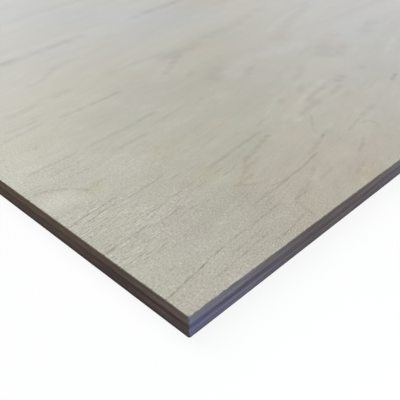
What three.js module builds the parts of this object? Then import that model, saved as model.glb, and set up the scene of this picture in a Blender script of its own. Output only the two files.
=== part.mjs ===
// A sheet of five-ply birch plywood lying flat: five rotary-cut veneers glued crosswise to each other.
// Millimetres, +Z up. The face grain runs along X, and the origin is the middle of the underside.

import * as THREE from "three";

// The trimmed sheet
const SHEET_LENGTH = 1220; // along the face grain
const SHEET_WIDTH = 610; // across the face grain
const CORNER_RADIUS = 0.5; // the blunt tip of each sawn corner, seen from above
const ARRIS_RADIUS = 0.25; // the edge that sanding leaves around the face and around the back

// The veneers, pressed and sanded
const FACE_THICKNESS = 1.25;
const CROSSBAND_THICKNESS = 1.35;
const CORE_THICKNESS = 1.3;
const BACK_THICKNESS = 1.25;

// How finely the round forms are cut into flats
const CORNER_STEPS = 6;
const ARRIS_STEPS = 4;

// Heights are multiples of this fine step, so that the touching faces of two veneers are at one height
const HEIGHT_STEP = 1 / 1024;

const QUARTER_TURN = Math.PI / 2;

// Birch as it shows where it is cut along, across and flat, from the lightest wood to the darkest
const finishes = {
  face: new THREE.MeshStandardMaterial({ color: 0xcfc8b3, roughness: 0.55, metalness: 0 }),
  crossband: new THREE.MeshStandardMaterial({ color: 0x9b8b78, roughness: 0.8, metalness: 0 }),
  core: new THREE.MeshStandardMaterial({ color: 0x6b5847, roughness: 0.85, metalness: 0 }),
  back: new THREE.MeshStandardMaterial({ color: 0xc2b89f, roughness: 0.6, metalness: 0 }),
};

// The lay-up, from the underside to the face. Each veneer's grain crosses that of its neighbours:
// it runs along X in the back, the core and the face, and along Y in the two crossbands.
const layUp = [
  { name: "back_veneer", thickness: BACK_THICKNESS, arris: "below", finish: finishes.back },
  { name: "lower_crossband", thickness: CROSSBAND_THICKNESS, arris: "none", finish: finishes.crossband },
  { name: "core_veneer", thickness: CORE_THICKNESS, arris: "none", finish: finishes.core },
  { name: "upper_crossband", thickness: CROSSBAND_THICKNESS, arris: "none", finish: finishes.crossband },
  { name: "face_veneer", thickness: FACE_THICKNESS, arris: "above", finish: finishes.face },
];

/** A height moved to the nearest multiple of the fine step. */
function onStep(height) {
  return Math.round(height / HEIGHT_STEP) * HEIGHT_STEP;
}

/** The sheet's outline, drawn in all round by the inset: anticlockwise from above, with round corner tips. */
function outline(inset) {
  const radius = Math.max(CORNER_RADIUS - inset, 0);
  const centreX = SHEET_LENGTH / 2 - inset - radius;
  const centreY = SHEET_WIDTH / 2 - inset - radius;
  const corners = [
    [centreX, centreY],
    [-centreX, centreY],
    [-centreX, -centreY],
    [centreX, -centreY],
  ];
  const points = [];
  corners.forEach(([x, y], corner) => {
    for (let step = 0; step <= CORNER_STEPS; step += 1) {
      const angle = (corner + step / CORNER_STEPS) * QUARTER_TURN;
      points.push(new THREE.Vector2(x + radius * Math.cos(angle), y + radius * Math.sin(angle)));
    }
  });
  return points;
}

/** A veneer's sections, from its underside to its top: how high each is, and how far it is drawn in. */
function sectionsOf(thickness, arris) {
  const radius = Math.min(ARRIS_RADIUS, thickness);
  const round = [];
  for (let step = 0; step <= ARRIS_STEPS; step += 1) {
    const angle = (step / ARRIS_STEPS) * QUARTER_TURN;
    round.push({ inset: radius * (1 - Math.cos(angle)), depth: radius * (1 - Math.sin(angle)) });
  }
  if (arris === "above") {
    const upper = round.map(({ inset, depth }) => ({ inset, height: thickness - depth }));
    return [{ inset: 0, height: 0 }, ...upper];
  }
  if (arris === "below") {
    const lower = round.map(({ inset, depth }) => ({ inset, height: depth })).reverse();
    return [...lower, { inset: 0, height: thickness }];
  }
  return [
    { inset: 0, height: 0 },
    { inset: 0, height: thickness },
  ];
}

/** The closed solid that passes through every section, with a flat cap on the first and on the last. */
function loft(sections) {
  const rings = sections.map(({ inset, height }) =>
    outline(inset).map((point) => new THREE.Vector3(point.x, point.y, height)),
  );
  const corners = [];
  const addTriangle = (a, b, c) => {
    const collapsed = a.equals(b) || b.equals(c) || c.equals(a);
    if (!collapsed) corners.push(a, b, c);
  };
  const bottom = rings[0];
  const top = rings[rings.length - 1];
  for (const [a, b, c] of THREE.ShapeUtils.triangulateShape(bottom, [])) {
    addTriangle(bottom[c], bottom[b], bottom[a]);
  }
  for (const [a, b, c] of THREE.ShapeUtils.triangulateShape(top, [])) {
    addTriangle(top[a], top[b], top[c]);
  }
  for (let level = 1; level < rings.length; level += 1) {
    const lower = rings[level - 1];
    const upper = rings[level];
    for (let i = 0; i < lower.length; i += 1) {
      const next = (i + 1) % lower.length;
      addTriangle(lower[i], lower[next], upper[next]);
      addTriangle(lower[i], upper[next], upper[i]);
    }
  }
  const geometry = new THREE.BufferGeometry().setFromPoints(corners);
  geometry.computeVertexNormals();
  return geometry;
}

/** The pressed sheet: each veneer lies on the one below it, and all are trimmed to one outline. */
function plywoodSheet() {
  const sheet = new THREE.Group();
  let stacked = 0;
  for (const { name, thickness, arris, finish } of layUp) {
    const underside = onStep(stacked);
    stacked += thickness;
    const height = onStep(stacked) - underside;
    const veneer = new THREE.Mesh(loft(sectionsOf(height, arris)), finish);
    veneer.name = name;
    veneer.position.z = underside;
    sheet.add(veneer);
  }
  return sheet;
}

export default plywoodSheet();
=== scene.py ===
"""A sheet of birch plywood on a pale floor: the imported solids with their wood, glue and saw marks.

Lengths that have a name or stand in a table are in millimetres. Blender counts in metres, so it gets them
times MM, apart from those of the camera's lens.
"""

import math
import random
from collections import namedtuple

import bpy
from mathutils import Matrix, Vector
from mathutils.noise import noise as soft_noise


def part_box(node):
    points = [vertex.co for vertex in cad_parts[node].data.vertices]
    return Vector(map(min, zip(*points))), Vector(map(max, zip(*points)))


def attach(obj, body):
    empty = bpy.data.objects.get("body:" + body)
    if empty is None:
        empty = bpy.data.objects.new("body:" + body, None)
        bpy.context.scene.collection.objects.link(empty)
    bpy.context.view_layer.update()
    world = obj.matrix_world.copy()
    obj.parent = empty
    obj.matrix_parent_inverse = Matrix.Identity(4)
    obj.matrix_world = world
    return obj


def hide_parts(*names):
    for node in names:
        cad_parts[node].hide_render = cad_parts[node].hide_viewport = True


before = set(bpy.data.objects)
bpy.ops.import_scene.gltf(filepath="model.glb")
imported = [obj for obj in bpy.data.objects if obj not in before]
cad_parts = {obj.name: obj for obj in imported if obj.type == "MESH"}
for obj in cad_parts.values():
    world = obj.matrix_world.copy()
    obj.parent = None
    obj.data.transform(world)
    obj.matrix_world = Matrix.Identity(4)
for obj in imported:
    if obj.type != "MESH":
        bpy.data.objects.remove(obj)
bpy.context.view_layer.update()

MM = 0.001

# The plies, from the underside to the face: which way their grain runs, how far their sawn edge stands back,
# and its shade on the sheet's long sides and on its ends. Most are darker on the ends, partly from their
# grain and partly as a painted shade.
Ply = namedtuple("Ply", "node slot grain set_back side_shade end_shade")
PLIES = (
    Ply("back_veneer", "back_birch", "X", 0.0, "918070", "6c5f57"),
    Ply("lower_crossband", "crossband_birch", "Y", 0.04, "a18d78", "8a766b"),
    Ply("core_veneer", "core_birch", "X", 0.0, "8a7365", "775f50"),
    Ply("upper_crossband", "crossband_birch", "Y", 0.03, "a69179", "a58c78"),
    Ply("face_veneer", "face_birch", "X", 0.0, "a18b6f", "9b8470"),
)

# The sheet as the frame gives it
X_LOW, Y_LOW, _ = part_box("face_veneer")[0] / MM
X_HIGH, Y_HIGH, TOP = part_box("face_veneer")[1] / MM
NEAR_CORNER = Vector((X_LOW, Y_LOW, TOP))
LEVELS = [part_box(ply.node)[0].z / MM for ply in PLIES] + [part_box("face_veneer")[1].z / MM]
LENGTH = X_HIGH - X_LOW
WIDTH = Y_HIGH - Y_LOW

# --- Camera ---------------------------------------------------------------------------------------

# The camera is close over the near corner, from which its place is given. Angles are in degrees.
CAMERA_OFFSET = Vector((-53.8, -55.6, 80.1))
CAMERA_AZIMUTH = -45.8
CAMERA_DIP = 33.32
CAMERA_ROLL = -0.1
FOCAL_LENGTH_PX = 520.5
FRAME_PX = 400
SENSOR_WIDTH = 36
CLIP_START = 5.0
CLIP_END = 50000.0


def make_camera():
    data = bpy.data.cameras.new("camera")
    data.sensor_width = SENSOR_WIDTH
    data.lens = FOCAL_LENGTH_PX / FRAME_PX * SENSOR_WIDTH
    data.clip_start = CLIP_START * MM
    data.clip_end = CLIP_END * MM
    camera = bpy.data.objects.new("camera", data)
    turn = Matrix.Rotation(math.radians(CAMERA_AZIMUTH), 4, "Z")
    tilt = Matrix.Rotation(math.radians(90 - CAMERA_DIP), 4, "X")
    roll = Matrix.Rotation(math.radians(CAMERA_ROLL), 4, "Z")
    place = Matrix.Translation((NEAR_CORNER + CAMERA_OFFSET) * MM)
    camera.matrix_world = place @ turn @ tilt @ roll
    bpy.context.scene.collection.objects.link(camera)
    bpy.context.scene.camera = camera


make_camera()

# --- Shapes ---------------------------------------------------------------------------------------

# The outline, and how far apart the columns of vertices stand on it
CORNER_RADIUS = 0.5
CORNER_STEPS = 6
COLUMN_SPACING = 1.0

# The sawn edges: each ply falls back this far at its joints, over this height, and bulges a little in between
EASED_DEPTH = 0.03
EASED_HEIGHT = 0.12
BULGE = 0.01
GLUE_THICKNESS = 0.08
GLUE_SET_BACK = 0.05

# The sanded arrises, which in places have only the least share of their radius
ARRIS_RADIUS = 0.25
BACK_ARRIS_RADIUS = 0.12
ARRIS_STEPS = 3
LEAST_ARRIS = 0.55

# What varies along the edges: by how much, round which level between 0 and 1, over what length, and the seed
# of the lowest ply or joint. The sanding varies by a share of the arris radius.
Variation = namedtuple("Variation", "amount level length seed")
SAW_ROUGHNESS = Variation(0.03, 0.0, 2.5, 11)
SAW_WAVE = Variation(0.05, 0.6, 45.0, 31)
SANDING = Variation(0.45, 0.0, 6.0, 51)
JOINT_HEIGHT = Variation(0.12, 0.5, 60.0, 0)
GLUE_SHRINKAGE = Variation(0.05, 0.0, 4.0, 71)
SEED_SHIFT_X = 7.3  # how far apart two seeds lie in the noise
SEED_SHIFT_Z = 3.7

# Splinters that the saw tore out of the face where it crossed the grain, along both ends. Some are placed, by
# their distance from the near corner. The others are random, past the stretch of the placed ones and clear of
# the corners.
RIGHT_END = 1  # the sides are counted anticlockwise from the front edge
LEFT_END = 3
PLACED_CHIPS = (7.2, 11.8, 14.0, 24.1, 29.2, 46.0, 63.5)
PLACED_STRETCH = 80.0
PLACED_WIDTHS = (0.5, 0.9)
PLACED_DEPTHS = (0.25, 0.4)
PLACED_HEIGHT = 0.5
RANDOM_PER_METRE = 22
RANDOM_WIDTHS = (0.6, 2.4)
RANDOM_DEPTHS = (0.15, 0.45)
RANDOM_HEIGHTS = (0.3, 0.7)
CORNER_CLEARANCE = 2.0
CHIP_SEED = 7
CHIP_COLUMNS = (-0.5, -0.2, 0.0, 0.25, 0.5)  # where columns of vertices cross a chip, in widths of it
CHIP_ROW = 0.55  # how far under the face a row of vertices crosses the chips

# How the flat sides are closed: rings this far in, each with this many times fewer vertices
CAP_INSETS = (3.0, 30.0, 200.0)
CAP_STRIDE = 9

# A veneer's material slots: its flat side's and its sawn edge's. A glue line has the first alone.
FLAT_SLOT = 0
EDGE_SLOT = 1

# A chip with the place of its middle along a side, and a column's place on the outline with its way out
Chip = namedtuple("Chip", "side along width depth height")
Column = namedtuple("Column", "side along x y nx ny")


def make_chips():
    """The chips on both ends. Along the left end, places count towards the near corner."""
    draw = random.Random(CHIP_SEED)
    chips = []
    for place in PLACED_CHIPS:
        width = draw.uniform(*PLACED_WIDTHS)
        depth = draw.uniform(*PLACED_DEPTHS)
        chips.append(Chip(LEFT_END, WIDTH - place, width, depth, PLACED_HEIGHT))
    for side in (RIGHT_END, LEFT_END):
        stretch = WIDTH - PLACED_STRETCH * (side == LEFT_END)
        for _ in range(int(WIDTH * MM * RANDOM_PER_METRE)):
            along = draw.uniform(CORNER_CLEARANCE, stretch - CORNER_CLEARANCE)
            width = draw.uniform(*RANDOM_WIDTHS)
            depth = draw.uniform(*RANDOM_DEPTHS)
            height = draw.uniform(*RANDOM_HEIGHTS)
            chips.append(Chip(side, along, width, depth, height))
    return chips


def make_columns(chips):
    """Places round the sheet's outline, anticlockwise from the near corner, closer together at the chips."""
    sides = (
        (X_LOW, Y_LOW, 1, 0, LENGTH),
        (X_HIGH, Y_LOW, 0, 1, WIDTH),
        (X_HIGH, Y_HIGH, -1, 0, LENGTH),
        (X_LOW, Y_HIGH, 0, -1, WIDTH),
    )
    columns = []
    for side, (x, y, dx, dy, length) in enumerate(sides):
        run = length - 2 * CORNER_RADIUS
        count = round(run / COLUMN_SPACING)
        places = {CORNER_RADIUS + run * i / count for i in range(count + 1)}
        for chip in chips:
            if chip.side == side:
                places |= {chip.along + chip.width * share for share in CHIP_COLUMNS}
        nx, ny = dy, -dx
        for along in sorted(places):
            columns.append(Column(side, along, x + dx * along, y + dy * along, nx, ny))
        centre_x = x + dx * (length - CORNER_RADIUS) - nx * CORNER_RADIUS
        centre_y = y + dy * (length - CORNER_RADIUS) - ny * CORNER_RADIUS
        for step in range(1, CORNER_STEPS):
            angle = step / CORNER_STEPS * math.pi / 2
            turned_x = nx * math.cos(angle) + dx * math.sin(angle)
            turned_y = ny * math.cos(angle) + dy * math.sin(angle)
            tip_x = centre_x + turned_x * CORNER_RADIUS
            tip_y = centre_y + turned_y * CORNER_RADIUS
            columns.append(Column(side, length, tip_x, tip_y, turned_x, turned_y))
    return columns


CHIPS = make_chips()
COLUMNS = make_columns(CHIPS)


def varied(column, variation, index):
    """What a variation adds at a column, in the ply or the joint with that index."""
    seed = variation.seed + index
    x = column.x / variation.length + seed * SEED_SHIFT_X
    y = column.y / variation.length
    noise = 0.5 + 0.5 * soft_noise(Vector((x, y, seed * SEED_SHIFT_Z)))
    return variation.amount * (min(max(noise, 0.0), 1.0) - variation.level)


def chip_depth(column, height_below):
    """How far a chip in the face reaches in at a column, at a height below the face."""
    deepest = 0.0
    for chip in CHIPS:
        reach = abs(column.along - chip.along) / (chip.width / 2)
        fade = 1.0 - height_below / chip.height
        if chip.side == column.side and reach < 1.0 and fade > 0.0:
            deepest = max(deepest, chip.depth * (1.0 - reach) * fade)
    return deepest


def joint_height(column, level):
    """The height of the joint under a ply at a column: the veneers vary a little in thickness."""
    if level in (0, len(PLIES)):
        return LEVELS[level]
    return LEVELS[level] + varied(column, JOINT_HEIGHT, level)


def fill(loop, vertices, faces, facing_up):
    """Close a loop of vertices with rings of polygons, which grow as they go in, round one in the middle."""
    for inset in CAP_INSETS:
        knots = [i for i in range(len(loop)) if i % CAP_STRIDE == 0] + [len(loop)]
        inner = []
        for knot in knots[:-1]:
            x, y, z = vertices[loop[knot]]
            x = min(max(x, (X_LOW + inset) * MM), (X_HIGH - inset) * MM)
            y = min(max(y, (Y_LOW + inset) * MM), (Y_HIGH - inset) * MM)
            if inner and vertices[inner[-1]][:2] == (x, y):
                inner.append(inner[-1])
            else:
                inner.append(len(vertices))
                vertices.append((x, y, z))
        for i, (start, end) in enumerate(zip(knots, knots[1:])):
            outer = [loop[k % len(loop)] for k in range(start, end + 1)]
            ends = [inner[(i + 1) % len(inner)], inner[i]]
            polygon = outer + (ends if ends[0] != ends[1] else ends[:1])
            faces.append(polygon if facing_up else polygon[::-1])
        loop = [vertex for i, vertex in enumerate(inner) if vertex != inner[i - 1]]
    faces.append(loop if facing_up else loop[::-1])


def swept_solid(name, rows_at, lower_slot, side_slot, upper_slot):
    """A closed mesh swept round the outline. rows_at gives a column's (inset, height) pairs, lowest first.

    The lower cap, the swept side and the upper cap take their material slots. Swept faces in the upper half
    that face up more than out are worn like the upper cap, and take its slot."""
    sections = [rows_at(column) for column in COLUMNS]
    rows = len(sections[0])
    vertices = []
    for column, section in zip(COLUMNS, sections):
        for inset, height in section:
            x = column.x - column.nx * inset
            y = column.y - column.ny * inset
            vertices.append((x * MM, y * MM, height * MM))
    count = len(COLUMNS)
    faces = []
    slots = []
    for i in range(count):
        here = i * rows
        there = (i + 1) % count * rows
        for row in range(rows - 1):
            faces.append((here + row, there + row, there + row + 1, here + row + 1))
            run = sections[i][row + 1][0] - sections[i][row][0]
            rise = sections[i][row + 1][1] - sections[i][row][1]
            slots.append(upper_slot if run > rise and row > rows // 2 else side_slot)
    swept = len(faces)
    fill([i * rows for i in range(count)], vertices, faces, False)
    slots += [lower_slot] * (len(faces) - len(slots))
    fill([i * rows + rows - 1 for i in range(count)], vertices, faces, True)
    slots += [upper_slot] * (len(faces) - len(slots))
    mesh = bpy.data.meshes.new(name)
    mesh.from_pydata(vertices, [], faces)
    mesh.polygons.foreach_set("material_index", slots)
    mesh.polygons.foreach_set("use_smooth", [i < swept for i in range(len(faces))])
    piece = bpy.data.objects.new(name, mesh)
    bpy.context.scene.collection.objects.link(piece)
    return piece


def back_arris(inset, low, radius):
    """The rows of the sanded arris round the back, lowest first."""
    rows = []
    for step in range(ARRIS_STEPS + 1):
        angle = (1 - step / ARRIS_STEPS) * math.pi / 2
        rows.append((inset + radius * (1 - math.cos(angle)), low + radius * (1 - math.sin(angle))))
    return rows


def face_arris(column, inset, high, radius):
    """The rows of the chipped and sanded arris round the face, lowest first."""
    rows = [(inset + chip_depth(column, CHIP_ROW), high - CHIP_ROW)]
    at_start = chip_depth(column, radius)
    at_face = chip_depth(column, 0.0)
    for step in range(ARRIS_STEPS + 1):
        angle = step / ARRIS_STEPS * math.pi / 2
        chipped = at_face * step / ARRIS_STEPS + at_start * (1 - step / ARRIS_STEPS)
        rows.append((inset + chipped + radius * (1 - math.cos(angle)), high - radius * (1 - math.sin(angle))))
    return rows


def veneer(index, ply):
    """One veneer's mesh, with its sawn edge and, on the outer plies, the sanded arris."""
    is_back = index == 0
    is_face = index == len(PLIES) - 1
    half_glue = GLUE_THICKNESS / 2
    radius = BACK_ARRIS_RADIUS if is_back else ARRIS_RADIUS

    def rows_at(column):
        low = joint_height(column, index) + (0 if is_back else half_glue)
        high = joint_height(column, index + 1) - (0 if is_face else half_glue)
        inset = ply.set_back + varied(column, SAW_ROUGHNESS, index) + varied(column, SAW_WAVE, index)
        arris = radius * (LEAST_ARRIS + varied(column, SANDING, index))
        if is_back:
            lower_rows = back_arris(inset, low, arris)
        else:
            lower_rows = [(inset + EASED_DEPTH, low), (inset, low + EASED_HEIGHT)]
        if is_face:
            upper_rows = face_arris(column, inset, high, arris)
        else:
            upper_rows = [(inset, high - EASED_HEIGHT), (inset + EASED_DEPTH, high)]
        middle = (inset if is_face else inset - BULGE, (low + high) / 2)
        return [*lower_rows, middle, *upper_rows]

    if is_back:
        return swept_solid(ply.node + "_wood", rows_at, FLAT_SLOT, EDGE_SLOT, EDGE_SLOT)
    return swept_solid(ply.node + "_wood", rows_at, EDGE_SLOT, EDGE_SLOT, FLAT_SLOT)


def glue_line(level):
    """The film of glue in the joint at a level: a thin ring that shows between two plies."""

    def rows_at(column):
        middle = joint_height(column, level)
        outer = GLUE_SET_BACK + varied(column, GLUE_SHRINKAGE, level)
        half = GLUE_THICKNESS / 2
        return [(outer, middle - half), (outer, middle + half)]

    return swept_solid(f"glue_line_{level}", rows_at, FLAT_SLOT, FLAT_SLOT, FLAT_SLOT)


# --- Materials ------------------------------------------------------------------------------------

# A noise in the wood: how far its cells reach along the grain, across it and down, how many cells it is moved
# by, and how much fine detail it has. Its value is seldom further from NOISE_MIDDLE than NOISE_REACH.
Pattern = namedtuple("Pattern", "cell start detail roughness", defaults=((0, 0, 0), 2.0, 0.5))
NOISE_MIDDLE = 0.5
NOISE_REACH = 0.25
# A value that runs smoothly from at_low to at_high while another runs from low to high, and is held past both
Ramp = namedtuple("Ramp", "low high at_low at_high", defaults=(0.0, 1.0))

# A drawn line is a chain of ellipses, one on each stretch of its path. An ellipse's half length is this share
# of its stretch, so neighbours overlap, and where their sum is past the ramp the line has its full strength.
LINE_REACH = 0.75
LINE_RAMP = Ramp(0.0, 0.9)


class Graph:
    """A material's or world's node tree, with one short call for each kind of node used here."""

    def __init__(self, owner):
        owner.use_nodes = True
        self.tree = owner.node_tree
        self.tree.nodes.clear()

    def node(self, kind, inputs=None, **settings):
        """A node with its settings made, and each input set to a value or joined to another node's output."""
        node = self.tree.nodes.new(kind)
        for name, value in settings.items():
            setattr(node, name, value)
        for name, value in (inputs or {}).items():
            if isinstance(value, bpy.types.NodeSocket):
                self.tree.links.new(value, node.inputs[name])
            else:
                node.inputs[name].default_value = value
        return node

    def math(self, operation, *values):
        return self.node("ShaderNodeMath", dict(enumerate(values)), operation=operation).outputs[0]

    def add(self, a, b):
        return self.math("ADD", a, b)

    def subtract(self, a, b):
        return self.math("SUBTRACT", a, b)

    def multiply(self, a, b):
        return self.math("MULTIPLY", a, b)

    def axes(self, vector):
        return self.node("ShaderNodeSeparateXYZ", {0: vector}).outputs

    def vector(self, x, y, z):
        return self.node("ShaderNodeCombineXYZ", {0: x, 1: y, 2: z}).outputs[0]

    def pattern(self, vector, pattern):
        scale = [1.0 / size for size in pattern.cell]
        inputs = {"Vector": vector, "Location": pattern.start, "Scale": scale}
        cells = self.node("ShaderNodeMapping", inputs).outputs[0]
        inputs = {"Vector": cells, "Scale": 1.0, "Detail": pattern.detail, "Roughness": pattern.roughness}
        return self.node("ShaderNodeTexNoise", inputs).outputs["Fac"]

    def ramp(self, value, ramp):
        inputs = {"Value": value, "From Min": ramp.low, "From Max": ramp.high}
        inputs |= {"To Min": ramp.at_low, "To Max": ramp.at_high}
        return self.node("ShaderNodeMapRange", inputs, interpolation_type="SMOOTHSTEP").outputs[0]

    def share(self, mask, share):
        """A share of a mask, eased at both ends."""
        return self.ramp(mask, Ramp(0.0, 1.0, 0.0, share))

    def mix(self, share, base, shade):
        """The base with a share of a shade in it. Either may be a colour's hex code."""
        base, shade = (colour(c) if isinstance(c, str) else c for c in (base, shade))
        return self.node("ShaderNodeMix", {0: share, 6: base, 7: shade}, data_type="RGBA").outputs[2]

    def ellipse(self, vector, x, y, half_length, half_width, angle):
        """1 at the middle of an ellipse, falling evenly to 0 at its rim."""
        inputs = {
            "Vector": vector,
            "Location": (x, y, 0.0),
            "Rotation": (0.0, 0.0, angle),
            "Scale": (half_length, half_width, 1.0),
        }
        turned = self.node("ShaderNodeMapping", inputs, vector_type="TEXTURE").outputs[0]
        return self.node("ShaderNodeTexGradient", {0: turned}, gradient_type="SPHERICAL").outputs["Fac"]

    def lines(self, vector, paths, width):
        """1 along each path of points, fading to 0 at half the width away."""
        mask = 0.0
        for path in paths:
            for (x0, y0), (x1, y1) in zip(path, path[1:]):
                middle = ((x0 + x1) / 2, (y0 + y1) / 2)
                half_length = math.hypot(x1 - x0, y1 - y0) * LINE_REACH
                angle = math.atan2(y1 - y0, x1 - x0)
                mask = self.add(mask, self.ellipse(vector, *middle, half_length, width / 2, angle))
        return self.ramp(mask, LINE_RAMP)

    def spots(self, vector, places):
        """1 at the middle of each ellipse, which is x, y, half length, half width and tilt in degrees."""
        mask = 0.0
        for x, y, half_length, half_width, tilt in places:
            spot = self.ellipse(vector, x, y, half_length, half_width, math.radians(tilt))
            mask = self.math("MAXIMUM", mask, spot)
        return mask

    def surface(self, base, roughness, relief, depth, shine):
        """Wood or glue with its colour, its roughness, a relief of the given depth and how much it shines."""
        inputs = {"Height": relief, "Distance": depth * MM, "Strength": 1.0}
        normal = self.node("ShaderNodeBump", inputs).outputs[0]
        inputs = {"Base Color": base, "Roughness": roughness, "Normal": normal, "Specular IOR Level": shine}
        shader = self.node("ShaderNodeBsdfPrincipled", inputs).outputs[0]
        self.node("ShaderNodeOutputMaterial", {"Surface": shader})


def colour(hex_code):
    """A colour written as the screen shows it, in the linear values that shaders take."""
    channels = [int(hex_code[i : i + 2], 16) / 255 for i in (0, 2, 4)]
    linear = [c / 12.92 if c <= 0.04045 else ((c + 0.055) / 1.055) ** 2.4 for c in channels]
    return (*linear, 1.0)


def from_corner(graph):
    """The surface point in millimetres from the near corner of the face."""
    place = graph.node("ShaderNodeTexCoord").outputs["Object"]
    inputs = {"Vector": place, "Scale": (1 / MM,) * 3, "Location": -NEAR_CORNER}
    return graph.node("ShaderNodeMapping", inputs).outputs[0]


# --- The face and the back ------------------------------------------------------------------------

# The grain wanders: it follows a wave with this length and this swing to either side, which turns this far
# before the near corner, and it drifts by up to this much more
WAVE_LENGTH = 757
WAVE_SWING = 33.7
WAVE_TURN = 39.0
DRIFT = 14.0
DRIFT_PATTERN = Pattern((160, 90, 90))

# Plain birch, in two shades that run into each other, with some warm places
BIRCH_SHADE = "a8a490"
PALE_BIRCH_SHADE = "afac98"
BIRCH_PATTERN = Pattern((90, 18, 18), detail=3.0)
BIRCH_RAMP = Ramp(0.3, 0.7)
WARM_SHADE = "aea296"
WARM_PATTERN = Pattern((34, 30, 30), (9, 4, 0), 1.0)
WARM_RAMP = Ramp(0.35, 0.65, 0.0, 0.3)

# Two measures of the distance from the near corner. Each sums a share of that along the grain and a share of
# that across it.
INWARD = (0.6, 0.6)
AWAY = (1.0, 0.5)

# Growth rings: the contours of a wide noise, this many from 0 to 1. Each darkens to its latewood and ends
# sharply. They are faint near the corner, where the figure is drawn, and stronger further inward.
RING_SHADE = "8c8068"
RING_PATTERN = Pattern((900, 130, 130), (0, 2, 0), 2.0, 0.35)
RING_COUNT = 10.0
LATEWOOD_RISE = Ramp(0.3, 0.95)
LATEWOOD_END = Ramp(0.95, 1.0, 1.0, 0.0)
RING_SHARE = Ramp(120.0, 280.0, 0.03, 0.24)

# Where the crowding noise is high, the streaks are strong and the checks weak. The checks also fade further
# away.
CROWD_PATTERN = Pattern((60, 20, 20), (3, 0, 0), 1.0)
STREAK_SHADE = "665346"
STREAK_PATTERN = Pattern((45, 1.4, 1.4))
STREAK_RAMP = Ramp(0.55, 0.75)
STREAK_SHARE = Ramp(0.4, 0.65, 0.02, 0.13)
CHECK_SHADE = "5b493c"
CHECK_PATTERN = Pattern((9.0, 0.45, 0.45), detail=1.0)
CHECK_RAMP = Ramp(0.55, 0.75)
CHECK_SHARE = Ramp(0.35, 0.5, 0.28, 0.04)
CHECK_FADING = Ramp(60.0, 110.0, 1.0, 0.4)

# Speckles: where a noise is low, the wood gets a share of a dark shade, and where it is high, of a light one
Speckle = namedtuple("Speckle", "pattern dark_shade dark_share light_share")
LIGHT_SHADE = "e6e2d4"
# blotches, fainter inward
MOTTLE = Speckle(Pattern((14.0, 6.0, 6.0), (0, 0, 5.0), 4.0, 0.75), "6e5246", 0.19, 0.19)
MOTTLE_FADING = Ramp(30.0, 75.0, 1.0, 0.65)
MOTTLE_FAR_FADING = Ramp(95.0, 140.0, 1.0, 0.5)
# short flecks, in the spots of FLECKED_GRAIN
FLECKS = Speckle(Pattern((3.4, 1.1, 1.1), (0, 0, 6.0), 1.0), "675447", 0.1, 0.1)
FLECKED_RAMP = Ramp(0.0, 0.6)
# fine lines, in the spots of RAISED_GRAIN
COMB = Speckle(Pattern((4.2, 0.36, 0.36), (0, 0, 3.0), 1.0), "675447", 0.42, 0.4)
RAISED_RAMP = Ramp(0.0, 0.7)
# the texture of the sanded wood, weaker in clumps and further away
TEXTURE = Speckle(Pattern((0.8, 0.36, 0.36), roughness=0.65), "675447", 0.56, 0.57)
CLUMP_PATTERN = Pattern((5.0, 2.5, 2.5), (0, 0, 8.0), 1.0)
CLUMP_RAMP = Ramp(0.3, 0.65, 1.0, 0.75)
TEXTURE_FADING = Ramp(38.0, 88.0, 1.0, 0.22)

# A pale bloom over it all, and the surface, which is rougher where the texture is dark.
BLOOM_SHADE = "efeae0"
BLOOM_SHARE = 0.036
FACE_ROUGHNESS = Ramp(0.2, 0.8, 0.48, 0.36)
FACE_SHINE = 0.36
FACE_RELIEF = 0.04
CHECK_RELIEF = 0.8

# What is drawn on the face wobbles to either side by up to half of this. Its marks are broken: they have more
# of their share in one place than in another.
WOBBLE = 0.6
WOBBLE_PATTERN = Pattern((6, 6, 6))
BREAK_PATTERN = Pattern((3.0, 1.2, 1.2), (0, 5.0, 0))
BREAK_RAMP = Ramp(0.35, 0.6, 0.75, 1.0)

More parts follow.
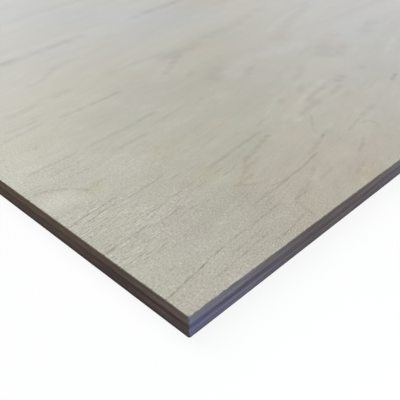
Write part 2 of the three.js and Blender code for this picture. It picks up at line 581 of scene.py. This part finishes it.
# Marks on the face: paths of (x, y) points in millimetres from the near corner. A mark is darkest or lightest
# along its path and fades out at half its group's width.
Marks = namedtuple("Marks", "shade share width paths")
FACE_MARKS = (
    # growth rings that the knife met at a low angle: wide and soft
    Marks("604e3a", 0.15, 13.0, (
        ((108, 127.7), (117, 130.2), (125, 129.2), (133, 130.7), (142, 135.2)),
        ((142, 135.2), (158, 139.3), (175, 141.8), (190, 146.8), (205, 153.3), (222, 155.8)),
        ((170, 106), (180, 111.5), (190, 117), (200, 122), (212, 127), (225, 130.5), (236, 135), (252, 143)),
        ((163.5, 73.8), (172.5, 79.2), (182.5, 84.7), (194.5, 89.6), (206.5, 92.6)),
        ((168, 70), (180, 74), (192, 79)),
        ((158, 199), (170, 203), (182, 205), (198, 211)),
        ((212, 79), (228, 86), (246, 92)),
        ((103, 90), (112, 96), (120, 101)),
    )),
    Marks("6a5046", 0.3, 11.0, (
        ((50, 173.4), (57, 176.4), (66, 178.4), (78, 180.9), (88, 183.4), (98, 186)),
    )),
    Marks("55483f", 0.17, 11.0, (
        ((98, 186), (108, 188.8)),
        ((144, 195.8), (157, 199.5), (174, 204.3), (190, 207.4), (206, 209.8)),
    )),
    Marks("5e432f", 0.23, 7.0, (
        ((48, 173.5), (54, 176.5), (60, 178)),
        ((94, 111), (100, 114), (106, 118), (112, 122), (120, 127)),
        ((140, 51.2), (145, 52.7), (150, 54)),
    )),
    Marks("5e432f", 0.19, 5.6, (
        ((101, 42.3), (105, 43.2), (110, 44.2), (118, 45.8)),
        ((113, 48.5), (120, 50), (126, 51.2), (132, 52.2)),
        ((126, 45.3), (133, 47), (139, 48.5)),
        ((118.5, 56), (127.5, 60.4)),
        ((115, 25.5), (121, 26.4), (129, 27.5)),
    )),
    Marks("5e432f", 0.14, 6.5, (
        ((44, 141), (51, 143), (56, 145.5), (62, 150.5), (69, 155), (80, 158.5)),
        ((75, 130), (88, 131), (102, 133), (116, 134.5)),
        ((99, 102), (108, 105.5)),
        ((103, 53.5), (110, 57.5)),
        ((128.5, 65.5), (138.5, 69.5), (147.5, 74.9)),
        ((126, 40), (136, 42)),
        ((85, 80.7), (88, 81.2)),
        ((120, 84.5), (125, 88), (132, 90.5)),
        ((160, 51), (168, 54.5)),
        ((22, 118.5), (28, 119), (33, 120.5), (39, 122)),
        ((44, 123.3), (50, 124.5), (57, 127)),
    )),
    Marks("5e432f", 0.26, 4.0, (
        ((44, 105.8), (50, 106.6), (57, 107.6), (63, 108.3), (70, 110.3)),
    )),
    Marks("755632", 0.28, 3.6, (
        ((60, 35.2), (64, 36.2), (68, 37.4), (72, 38.5), (77, 40.2), (80, 40.5)),
    )),
    # narrower dark streaks
    Marks("5a412f", 0.26, 2.8, (
        ((7, 75.4), (12, 76.4), (18, 76.9), (26, 78)),
        ((17.3, 89.2), (19.6, 91.3)),
        ((47, 39.7), (54, 40.9), (61, 42), (68, 43), (74, 43.8), (80, 44.7)),
        ((1.3, 65), (5.3, 64.3), (8.9, 62.5), (12.1, 60.1), (14.4, 57.4), (15.6, 55.3)),
    )),
    Marks("5a412f", 0.18, 3.8, (
        ((30, 78.5), (38, 79.4), (46, 80.2), (52, 81), (60, 82.9), (66, 84)),
        ((34, 70), (40, 70.6), (46, 71.4), (52, 72.3)),
        ((12, 101), (17, 102.6), (22, 103.4), (30, 105.4)),
        ((36, 104.8), (44, 106)),
        ((16, 107), (23, 107.7), (31, 109.2)),
        ((84, 25.3), (88, 26.2)),
    )),
    Marks("5a412f", 0.17, 2.6, (
        ((101.5, 22.7), (105, 23.3), (109, 24.4), (115, 25.5)),
        ((110, 22.8), (113, 22.7), (115, 20.7), (114, 18), (111, 16.5)),
        ((92, 30), (95, 33), (100, 37), (104, 40)),
        ((82, 47.9), (85, 49), (89, 50.3)),
        ((90, 12.2), (94, 13.3), (98, 14.8), (101, 17)),
        ((76, 22.6), (80, 23.5), (86, 25), (92, 27.2), (98, 28.7)),
        ((62, 13), (66, 14), (69, 15.2), (72, 17.2)),
        ((51.6, 9.5), (56, 11.6), (61, 12.2), (66, 14.4), (69, 15.4), (70.5, 17)),
        ((66, 11.6), (70, 12), (76, 13)),
        ((77, 5.3), (81, 6.5), (86, 7.7)),
        ((51.8, 9.5), (51.4, 7.6), (50.2, 5.4), (50.4, 3.6), (48.8, 1.2)),
    )),
    Marks("4c4232", 0.27, 1.9, (
        ((90.5, 26.6), (93.8, 27.7)),
        ((-1, 50.2), (2.2, 50.3)),
    )),
    # pith flecks, tinted amber
    Marks("8e7e54", 0.4, 2.6, (
        ((45.5, 27.5), (47.5, 26.2), (49.5, 24.6), (52, 23.8)),
        ((46, 27.2), (51, 27.2), (56, 28)),
        ((49.5, 28.3), (53, 29.8), (56, 31.2), (59, 32.2), (62, 32.6), (66, 33.2)),
        ((55.5, 31), (58, 33.5), (61, 35.8)),
    )),
    # knife checks along the grain
    Marks("4c4232", 0.3, 1.0, (
        ((24, 10.9), (32, 11.3), (40, 11.7), (48.5, 12.3)),
        ((12.5, 4), (20, 4.8), (28, 5.6), (36, 6.3)),
        ((21, 6.9), (28, 7.7), (36, 8.4)),
        ((33, 2.5), (42, 3.4), (50, 4.6)),
        ((52, 10.3), (61, 10.8)),
        ((42, 17.1), (50, 17.5), (57, 18.1)),
        ((52.5, 19.9), (58, 18.7)),
        ((27, 33.25), (33, 33.75), (42, 34.95)),
        ((27, 36), (33, 36.6), (38.5, 37.4)),
        ((17, 34.6), (25, 34.8)),
        ((28, 28), (31.5, 28.1), (35.5, 28.5)),
        ((4, 43), (11, 44.2), (18.5, 45.4)),
        ((24, 45.2), (30, 46.2), (37, 47.2)),
        ((35, 43.4), (41, 44.3)),
        ((47, 33.3), (52.5, 34.3), (57.5, 36)),
        ((46, 36.4), (51.5, 37)),
        ((6.8, 13.6), (9.4, 13.8)),
        ((10, 21), (15, 22)),
        ((10, 70), (15, 71), (20, 71.7), (27, 73)),
        ((15, 66), (24, 66.8)),
        ((15.5, 29.2), (21, 29.7), (27.5, 30.7)),
        ((19.5, 44.5), (26, 45.5), (33, 46.2)),
    )),
    Marks("4c4232", 0.5, 1.05, (
        ((-0.5, 7), (5, 7.8), (11, 8.8), (17, 9.9), (23, 10.6)),
        ((-0.5, 29.1), (5, 29.7), (10, 30.1), (15.5, 30.8)),
        ((-0.5, 44.9), (5, 45.6), (10, 46.2), (15, 47), (18, 47.7)),
    )),
    Marks("4c4232", 0.4, 3.4, (
        ((158, 35.5), (163, 37), (168, 38)),
    )),
    Marks("4c4232", 0.34, 1.7, (
        ((55, 18), (62, 19), (69, 19.5), (74, 20.5), (80, 21.4)),
    )),
    # pale streaks between the rings
    Marks("dedacf", 0.13, 5.0, (
        ((92, 44.5), (101, 46), (111, 49.7), (120, 53), (130, 56), (139, 57)),
        ((94, 41), (99, 41.5)),
        ((120, 48.3), (132, 49.7)),
        ((193, 56), (204, 60), (217, 64.5)),
    )),
    Marks("e2dfd4", 0.1, 3.2, (
        ((16, 32.8), (26, 33.6)),
        ((97, 42.5), (101, 44.2), (106, 45.6)),
        ((108, 48.8), (113, 50.6), (119, 52.2)),
        ((119, 47.6), (125, 49)),
        ((129, 53.6), (134, 55.4), (139, 57)),
        ((96, 40), (100, 41)),
        ((106, 41.5), (112, 42.6)),
    )),
    Marks("d9dade", 0.12, 17.0, (
        ((112, 88), (124, 94.5), (138, 99.5), (152, 98), (165, 95), (180, 96)),
    )),
)

# Wide faint patches: x, y, half length along the grain, half width and tilt in degrees
Patches = namedtuple("Patches", "shade share spots")
FACE_PATCHES = (
    Patches("dad6ca", 0.12, (
        (94.5, 76.5, 8, 6, 20),
        (60, 102, 8, 5, 10),
        (28, 60, 20, 12, 5),
        (100, 115, 14, 8, 10),
        (3, 75, 6, 6, 10),
        (9, 86, 12, 9, 10),
        (22, 72, 10, 6, 10),
    )),
    Patches("dad6ca", 0.32, (
        (5, 57.5, 11, 8, 0),
        (9, 55, 7, 5, -25),
    )),
    Patches("ada06c", 0.23, (
        (17, 56, 8, 6, 10),
        (47, 59, 12, 9, 10),
        (46, 37, 11, 7, 10),
        (76, 128, 18, 10, 15),
        (86, 119, 12, 8, 15),
    )),
    Patches("a8925e", 0.4, (
        (80, 3.5, 13, 7, 15),
    )),
    Patches("a8925e", 0.16, (
        (50, 26, 8, 5, 10),
        (57, 31.5, 8, 5, 20),
    )),
    Patches("6f6350", 0.18, (
        (120, 129.5, 26, 7, 8),
        (178, 82, 24, 13, 20),
        (20, 16, 20, 11, 10),
    )),
    Patches("6f6350", 0.32, (
        (38, 21, 23, 11, 5),
    )),
    Patches("6f6350", 0.1, (
        (105, 85, 80, 45, 10),
        (45, 95, 40, 25, 10),
        (165, 46, 26, 16, 20),
        (95, 22.5, 12, 5, 10),
        (128, 46, 44, 24, 20),
        (98, 60, 28, 12, 20),
        (30, 108, 22, 14, 15),
        (8, 49, 11, 9, 0),
        (5, 27, 14, 12, 0),
        (120, 69, 20, 12, 25),
        (79, 122, 16, 9, 15),
        (41, 114, 16, 9, 15),
        (38, 12, 14, 9, 10),
        (76, 109, 54, 15, -46),
        (40, 16.5, 16, 11, -35),
        (108, 62, 22, 14, -40),
        (37, 13, 16, 10, -30),
    )),
    Patches("b7b0a4", 0.5, (
        (18, 12, 60, 34, 15),
    )),
    Patches("8f8070", 0.12, (
        (45, 7, 26, 12, 10),
    )),
    Patches("b2a98a", 0.38, (
        (50, 124, 75, 42, 25),
        (20, 95, 46, 24, 10),
    )),
    # The next four bluish groups, far from the near corner, are a painted reflection: cool sheen at a low
    # angle
    Patches("c2c8d8", 0.08, (
        (155, 190, 80, 40, 30),
        (225, 88, 70, 34, 30),
        (188, 170, 44, 26, 35),
    )),
    Patches("a0a7aa", 0.24, (
        (140, 205, 95, 42, -50),
    )),
    Patches("a2a6b6", 0.1, (
        (182, 168, 36, 22, 30),
        (156, 136, 26, 16, -40),
    )),
    Patches("8e949e", 0.16, (
        (104, 262, 50, 34, 35),
    )),
    Patches("b6a490", 0.4, (
        (74, 17, 52, 24, 12),
        (102, 14, 26, 14, 20),
        (128, 124, 28, 14, 25),
        (52, 22, 10, 6, 10),
        (180, 112, 16, 9, 30),
        (188, 83, 24, 12, 30),
        (75, 59, 10, 6, 10),
        (114, 50, 34, 18, 20),
        (120, 34, 34, 16, 20),
        (54, 5, 28, 10, 10),
        (84, 33, 18, 12, 20),
    )),
)

# Where the grain stands up in fine lines near the left end, as spots like those of a patch
RAISED_GRAIN = (
    (5, 42, 27, 13, 5),
    (22, 34, 23, 8, 5),
    (5, 26, 18, 10, 5),
)
# Where short flecks show between the grain lines
FLECKED_GRAIN = ((37, 59, 34, 20, -45),)

Figure = namedtuple("Figure", "marks patches raised flecked")
FACE_FIGURE = Figure(FACE_MARKS, FACE_PATCHES, RAISED_GRAIN, FLECKED_GRAIN)
NO_FIGURE = Figure((), (), (), ())

# What the layers of the wood go by: the point on the sheet, the same point along the wandering grain, its
# place for what is drawn, its two distances from the near corner, and the two noises that shape the surface
Wood = namedtuple("Wood", "point grain place inward away check texture")


def along_grain(graph, point):
    """The point, with its place across the sheet counted from the wandering grain."""
    x, y, z = graph.axes(point)
    wave = graph.multiply(graph.add(x, WAVE_TURN), 2 * math.pi / WAVE_LENGTH)
    sweep = graph.multiply(graph.math("COSINE", wave), WAVE_SWING)
    drift = graph.multiply(graph.pattern(point, DRIFT_PATTERN), DRIFT)
    return graph.vector(x, graph.add(graph.add(y, sweep), drift), z)


def drawing_place(graph, point):
    """The point's place on the face for what is drawn there, with a wobble."""
    x, y, _ = graph.axes(point)
    wobble = graph.multiply(graph.subtract(graph.pattern(point, WOBBLE_PATTERN), NOISE_MIDDLE), WOBBLE)
    return graph.vector(x, graph.add(y, wobble), 0.0)


def distance(graph, point, shares):
    """The sum of shares of the point's distances from the near corner, along the grain and across it."""
    x, y, _ = graph.axes(point)
    return graph.add(graph.multiply(x, shares[0]), graph.multiply(y, shares[1]))


def plain_birch(graph, wood):
    paleness = graph.ramp(graph.pattern(wood.grain, BIRCH_PATTERN), BIRCH_RAMP)
    warmth = graph.ramp(graph.pattern(wood.point, WARM_PATTERN), WARM_RAMP)
    return graph.mix(warmth, graph.mix(paleness, BIRCH_SHADE, PALE_BIRCH_SHADE), WARM_SHADE)


def with_rings(graph, wood, base):
    ring = graph.math("FRACT", graph.multiply(graph.pattern(wood.grain, RING_PATTERN), RING_COUNT))
    latewood = graph.multiply(graph.ramp(ring, LATEWOOD_RISE), graph.ramp(ring, LATEWOOD_END))
    return graph.mix(graph.multiply(latewood, graph.ramp(wood.inward, RING_SHARE)), base, RING_SHADE)


def with_figure(graph, wood, base, figure):
    """The base with a figure's patches and then its marks drawn on it."""
    for patches in figure.patches:
        mask = graph.spots(wood.place, patches.spots)
        base = graph.mix(graph.share(mask, patches.share), base, patches.shade)
    breaks = graph.pattern(wood.grain, BREAK_PATTERN)
    for marks in figure.marks:
        least = BREAK_RAMP.at_low * marks.share
        most = BREAK_RAMP.at_high * marks.share
        broken = graph.ramp(breaks, BREAK_RAMP._replace(at_low=least, at_high=most))
        mask = graph.multiply(graph.lines(wood.place, marks.paths, marks.width), broken)
        base = graph.mix(mask, base, marks.shade)
    return base


def with_streaks_and_checks(graph, wood, base):
    crowd = graph.pattern(wood.grain, CROWD_PATTERN)
    streaks = graph.ramp(graph.pattern(wood.grain, STREAK_PATTERN), STREAK_RAMP)
    base = graph.mix(graph.multiply(streaks, graph.ramp(crowd, STREAK_SHARE)), base, STREAK_SHADE)
    checks = graph.multiply(graph.ramp(wood.check, CHECK_RAMP), graph.ramp(crowd, CHECK_SHARE))
    return graph.mix(graph.multiply(checks, graph.ramp(wood.away, CHECK_FADING)), base, CHECK_SHADE)


def speckled(graph, base, value, speckle, where):
    """The base with a speckle that follows the value of its noise, as far as the mask in where."""
    dark_ramp = Ramp(NOISE_MIDDLE - NOISE_REACH, NOISE_MIDDLE, speckle.dark_share, 0.0)
    light_ramp = Ramp(NOISE_MIDDLE, NOISE_MIDDLE + NOISE_REACH, 0.0, speckle.light_share)
    base = graph.mix(graph.multiply(graph.ramp(value, dark_ramp), where), base, speckle.dark_shade)
    return graph.mix(graph.multiply(graph.ramp(value, light_ramp), where), base, LIGHT_SHADE)


def with_speckles(graph, wood, base, figure):
    """The base with all the speckles, from the widest to the finest."""
    fading = graph.ramp(wood.inward, MOTTLE_FADING)
    blotchy = graph.multiply(fading, graph.ramp(wood.inward, MOTTLE_FAR_FADING))
    base = speckled(graph, base, graph.pattern(wood.grain, MOTTLE.pattern), MOTTLE, blotchy)
    if figure.flecked:
        flecked = graph.ramp(graph.spots(wood.place, figure.flecked), FLECKED_RAMP)
        base = speckled(graph, base, graph.pattern(wood.grain, FLECKS.pattern), FLECKS, flecked)
    if figure.raised:
        raised = graph.ramp(graph.spots(wood.place, figure.raised), RAISED_RAMP)
        base = speckled(graph, base, graph.pattern(wood.grain, COMB.pattern), COMB, raised)
    clumps = graph.ramp(graph.pattern(wood.grain, CLUMP_PATTERN), CLUMP_RAMP)
    textured = graph.multiply(clumps, graph.ramp(wood.away, TEXTURE_FADING))
    return speckled(graph, base, wood.texture, TEXTURE, textured)


def face_material(name, shift, figure):
    """Rotary-cut birch, its wood moved by a shift in millimetres, with a figure drawn on it."""
    material = bpy.data.materials.new(name)
    graph = Graph(material)
    point = graph.node("ShaderNodeMapping", {"Vector": from_corner(graph), "Location": shift}).outputs[0]
    grain = along_grain(graph, point)
    wood = Wood(
        point=point,
        grain=grain,
        place=drawing_place(graph, point),
        inward=distance(graph, point, INWARD),
        away=distance(graph, point, AWAY),
        check=graph.pattern(grain, CHECK_PATTERN),
        texture=graph.pattern(grain, TEXTURE.pattern),
    )
    base = plain_birch(graph, wood)
    base = with_rings(graph, wood, base)
    base = with_figure(graph, wood, base, figure)
    base = with_streaks_and_checks(graph, wood, base)
    base = with_speckles(graph, wood, base, figure)
    base = graph.mix(BLOOM_SHARE, base, BLOOM_SHADE)
    relief = graph.subtract(wood.texture, graph.multiply(wood.check, CHECK_RELIEF))
    graph.surface(base, graph.ramp(wood.texture, FACE_ROUGHNESS), relief, FACE_RELIEF, FACE_SHINE)
    return material


# --- The sawn edges and the glue ------------------------------------------------------------------

# Stains on the sawn edges, and on the long sides a painted cool light. In place of x and y, their spots have
# the distance along the edge from the near corner and the height from the face.
StainsAndPaintedLight = namedtuple("StainsAndPaintedLight", "shade share on_end spots")
EDGE_STAINS_AND_PAINTED_LIGHT = (
    StainsAndPaintedLight("7c6040", 0.45, False, ((46, -0.9, 36, 2.2, 0), (20, 0.0, 32, 0.7, 0))),
    StainsAndPaintedLight("a18b4c", 0.3, False, ((26, -1.0, 22, 1.8, 0), (44, -4.6, 30, 2.6, 0))),
    # painted cool light, not a stain: a bluish reflection on the long side near the corner and further along
    StainsAndPaintedLight("6f78a8", 0.17, False, ((0, -3.8, 16, 3.4, 0), (112, -3.6, 40, 3.6, 0))),
    StainsAndPaintedLight("4a3a3c", 0.5, False, ((10, -3.3, 36, 0.9, 0), (44, -3.95, 64, 0.65, 0))),
    StainsAndPaintedLight("3e2a28", 0.46, True, ((26, -4.8, 17, 2.4, 0), (12, -3.3, 20, 1.0, 0))),
    StainsAndPaintedLight("9a8676", 0.3, True, ((44, -3.2, 14, 1.0, 0), (3, -5.5, 8, 0.9, 0))),
    StainsAndPaintedLight("3a2c26", 0.3, True, ((76, -5.7, 40, 0.6, 0),)),
)

# How far a surface has to face along X to be an end of the sheet and no long side
END_RAMP = Ramp(0.6, 0.8)

# The cut wood: long fibres where the edge runs along the grain, and dots where it crosses it
FIBRE_LENGTH = 6.0
FIBRE_WIDTH = 0.22
FIBRE_HEIGHT = 0.16
FIBRE_DETAIL = 3.0
FIBRE_SHADE = "3c3128"
FIBRE_RAMP = Ramp(0.3, 0.65, 0.35, 0.0)
CLOUD_SHADE = "4a3d32"
CLOUD_PATTERN = Pattern((18, 18, 2.0))
CLOUD_RAMP = Ramp(0.3, 0.7, 0.25, 0.0)

# A lighter band close under the face, partly sanding wear and partly a painted highlight where the arris
# catches the light, with a share of its own on the sides and on the ends. A painted shade close over the
# underside, darker towards the floor, where the sheet meets it. Both go by height from the face.
WORN_AND_HIGHLIGHT_SHADE = "dccdb0"
WORN_AND_HIGHLIGHT_RAMP = Ramp(-0.7, -0.15)
SIDE_WEAR_AND_HIGHLIGHT = 0.1
END_WEAR_AND_HIGHLIGHT = 0.34
PAINTED_BOTTOM_SHADE = "2e2624"
PAINTED_BOTTOM_RAMP = Ramp(-6.5, -5.75, 0.7, 0.0)

EDGE_ROUGHNESS = Ramp(0.2, 0.8, 0.9, 0.7)
EDGE_SHINE = 0.2
EDGE_RELIEF = 0.05

# Glue, which came out of the joints in beads
GLUE_SHADE = "54443a"
PALE_GLUE_SHADE = "74604f"
BEAD_PATTERN = Pattern((1.5, 1.5, 0.1))
BEAD_RAMP = Ramp(0.3, 0.7)
GLUE_ROUGHNESS = Ramp(0.2, 0.8, 0.6, 0.4)
GLUE_SHINE = 0.5
GLUE_RELIEF = 0.02


def with_stains_and_painted_light(graph, base, point, on_end):
    """The base with the edges' stains and the painted cool light, each drawn where it belongs."""
    x, y, z = graph.axes(point)
    on_side = graph.subtract(1.0, on_end)
    for stain_or_painted_light in EDGE_STAINS_AND_PAINTED_LIGHT:
        along, here = (y, on_end) if stain_or_painted_light.on_end else (x, on_side)
        mask = graph.multiply(graph.spots(graph.vector(along, z, 0.0), stain_or_painted_light.spots), here)
        base = graph.mix(graph.share(mask, stain_or_painted_light.share), base, stain_or_painted_light.shade)
    return base


def edge_material(ply):
    material = bpy.data.materials.new("birch_edge_" + ply.node)
    graph = Graph(material)
    point = from_corner(graph)
    height = graph.axes(point)[2]
    facing = graph.axes(graph.node("ShaderNodeTexCoord").outputs["Normal"])
    on_end = graph.ramp(graph.math("ABSOLUTE", facing[0]), END_RAMP)
    along_x = (FIBRE_LENGTH, FIBRE_WIDTH, FIBRE_HEIGHT)
    along_y = (FIBRE_WIDTH, FIBRE_LENGTH, FIBRE_HEIGHT)
    fibre_cell = along_x if ply.grain == "X" else along_y
    fibres = graph.pattern(point, Pattern(fibre_cell, detail=FIBRE_DETAIL))
    clouds = graph.pattern(point, CLOUD_PATTERN)

    # darker on the ends: partly the grain, partly a painted shade
    base = graph.mix(on_end, ply.side_shade, ply.end_shade)
    base = with_stains_and_painted_light(graph, base, point, on_end)
    # lighter close under the face: partly sanding wear, partly a painted highlight where the arris catches
    # the light
    wear_and_highlight = graph.ramp(on_end, Ramp(0.0, 1.0, SIDE_WEAR_AND_HIGHLIGHT, END_WEAR_AND_HIGHLIGHT))
    base = graph.mix(graph.ramp(height, WORN_AND_HIGHLIGHT_RAMP._replace(at_high=wear_and_highlight)), base, WORN_AND_HIGHLIGHT_SHADE)
    # a painted shade along the bottom, darker towards the floor where the sheet meets it
    base = graph.mix(graph.ramp(height, PAINTED_BOTTOM_RAMP), base, PAINTED_BOTTOM_SHADE)
    base = graph.mix(graph.ramp(clouds, CLOUD_RAMP), base, CLOUD_SHADE)
    base = graph.mix(graph.ramp(fibres, FIBRE_RAMP), base, FIBRE_SHADE)
    graph.surface(base, graph.ramp(fibres, EDGE_ROUGHNESS), fibres, EDGE_RELIEF, EDGE_SHINE)
    return material


def glue_material():
    material = bpy.data.materials.new("phenolic_glue")
    graph = Graph(material)
    beads = graph.pattern(from_corner(graph), BEAD_PATTERN)
    base = graph.mix(graph.ramp(beads, BEAD_RAMP), GLUE_SHADE, PALE_GLUE_SHADE)
    graph.surface(base, graph.ramp(beads, GLUE_ROUGHNESS), beads, GLUE_RELIEF, GLUE_SHINE)
    return material


# --- The sheet ------------------------------------------------------------------------------------

BACK_SHIFT = (900, 400, 0)  # so that the back's wood differs from the face's


def build_sheet():
    face = face_material("birch_face", (0, 0, 0), FACE_FIGURE)
    back = face_material("birch_back", BACK_SHIFT, NO_FIGURE)
    for index, ply in enumerate(PLIES):
        piece = veneer(index, ply)
        piece.data.materials.append(back if index == 0 else face)
        piece.data.materials.append(edge_material(ply))
        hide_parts(ply.node)
        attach(piece, "root")
    glue = glue_material()
    for level in range(1, len(PLIES)):
        piece = glue_line(level)
        piece.data.materials.append(glue)
        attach(piece, "root")


build_sheet()

# --- Floor and light ------------------------------------------------------------------------------

WHITE = (1.0, 1.0, 1.0, 1.0)

# The floor looks white, and this share of its look is the light that falls on it, which shows the shadow. To
# the sheet it sends back the light of a grey floor.
FLOOR_REACH = 20000.0
FLOOR_DROP = 0.1
SHADOW_SHARE = 0.12
FLOOR_GREY = (0.13, 0.13, 0.13, 1.0)

# The world looks white too, and lights the sheet softly
WORLD_TINT = (0.97, 0.98, 1.0, 1.0)
WORLD_STRENGTH = 0.25

# Distant lamps: the heading that each stands at, counted from +X towards +Y, its elevation and how wide it
# looks, in degrees, its strength and its tint
Sun = namedtuple("Sun", "name heading elevation width strength tint")
SUNS = (
    Sun("key_lamp", 82, 42, 45, 1.7, (1.0, 1.0, 0.98)),
    Sun("overhead_lamp", 50, 78, 60, 0.97, (0.95, 1.0, 1.0)),
    Sun("far_right_lamp", 20, 10, 40, 0.37, (0.45, 0.54, 1.0)),
    Sun("far_left_lamp", 65, 10, 40, 0.22, (0.14, 0.32, 1.0)),
    Sun("front_lamp", 270, 12, 40, 0.3, (1.0, 0.92, 0.92)),
)

# Low upright lamps in front of the sheet, placed from the near corner, that shine along +Y
Strip = namedtuple("Strip", "name place power tint")
STRIPS = (
    Strip("near_strip", (-5.0, -60.0, -4.0), 0.045, (0.2, 0.38, 1.0)),
    Strip("right_strip", (145.0, -50.0, -4.0), 0.035, (0.3, 0.5, 1.0)),
)
STRIP_LENGTH = 60.0
STRIP_HEIGHT = 5.0


def seen_directly(graph):
    """1 where a camera, glossy or transmitted ray looks, and 0 for the light that bounces."""
    path = graph.node("ShaderNodeLightPath").outputs
    glossy = graph.math("MAXIMUM", path["Is Camera Ray"], path["Is Glossy Ray"])
    return graph.math("MAXIMUM", glossy, path["Is Transmission Ray"])


def make_floor():
    reach = FLOOR_REACH * MM
    corners = [(-reach, -reach), (reach, -reach), (reach, reach), (-reach, reach)]
    mesh = bpy.data.meshes.new("floor")
    mesh.from_pydata([(x, y, -FLOOR_DROP * MM) for x, y in corners], [], [(0, 1, 2, 3)])
    floor = bpy.data.objects.new("floor", mesh)
    bpy.context.scene.collection.objects.link(floor)
    material = bpy.data.materials.new("floor")
    graph = Graph(material)
    white = graph.node("ShaderNodeEmission", {"Color": WHITE, "Strength": 1.0}).outputs[0]
    lit = graph.node("ShaderNodeBsdfDiffuse", {"Color": WHITE}).outputs[0]
    backdrop = graph.node("ShaderNodeMixShader", {0: SHADOW_SHARE, 1: white, 2: lit}).outputs[0]
    grey = graph.node("ShaderNodeBsdfDiffuse", {"Color": FLOOR_GREY}).outputs[0]
    surface = graph.node("ShaderNodeMixShader", {0: seen_directly(graph), 1: grey, 2: backdrop}).outputs[0]
    graph.node("ShaderNodeOutputMaterial", {"Surface": surface})
    mesh.materials.append(material)


def make_world():
    world = bpy.data.worlds.new("world")
    bpy.context.scene.world = world
    graph = Graph(world)
    white = graph.node("ShaderNodeBackground", {"Color": WHITE, "Strength": 1.0}).outputs[0]
    soft = graph.node("ShaderNodeBackground", {"Color": WORLD_TINT, "Strength": WORLD_STRENGTH}).outputs[0]
    surface = graph.node("ShaderNodeMixShader", {0: seen_directly(graph), 1: soft, 2: white}).outputs[0]
    graph.node("ShaderNodeOutputWorld", {"Surface": surface})


def make_sun(sun):
    data = bpy.data.lights.new(sun.name, "SUN")
    data.energy = sun.strength
    data.angle = math.radians(sun.width)
    data.color = sun.tint
    lamp = bpy.data.objects.new(sun.name, data)
    bpy.context.scene.collection.objects.link(lamp)
    heading = math.radians(sun.heading)
    elevation = math.radians(sun.elevation)
    flat = math.cos(elevation)
    towards = Vector((flat * math.cos(heading), flat * math.sin(heading), math.sin(elevation)))
    lamp.rotation_mode = "QUATERNION"
    lamp.rotation_quaternion = towards.to_track_quat("Z", "Y")


def make_strip(strip):
    data = bpy.data.lights.new(strip.name, "AREA")
    data.shape = "RECTANGLE"
    data.size = STRIP_LENGTH * MM
    data.size_y = STRIP_HEIGHT * MM
    data.energy = strip.power
    data.color = strip.tint
    lamp = bpy.data.objects.new(strip.name, data)
    bpy.context.scene.collection.objects.link(lamp)
    lamp.location = (NEAR_CORNER + Vector(strip.place)) * MM
    lamp.rotation_euler = (math.radians(90), 0.0, 0.0)
    lamp.visible_camera = False


make_floor()
make_world()
for sun in SUNS:
    make_sun(sun)
for strip in STRIPS:
    make_strip(strip)

bpy.context.scene.view_settings.view_transform = "Standard"
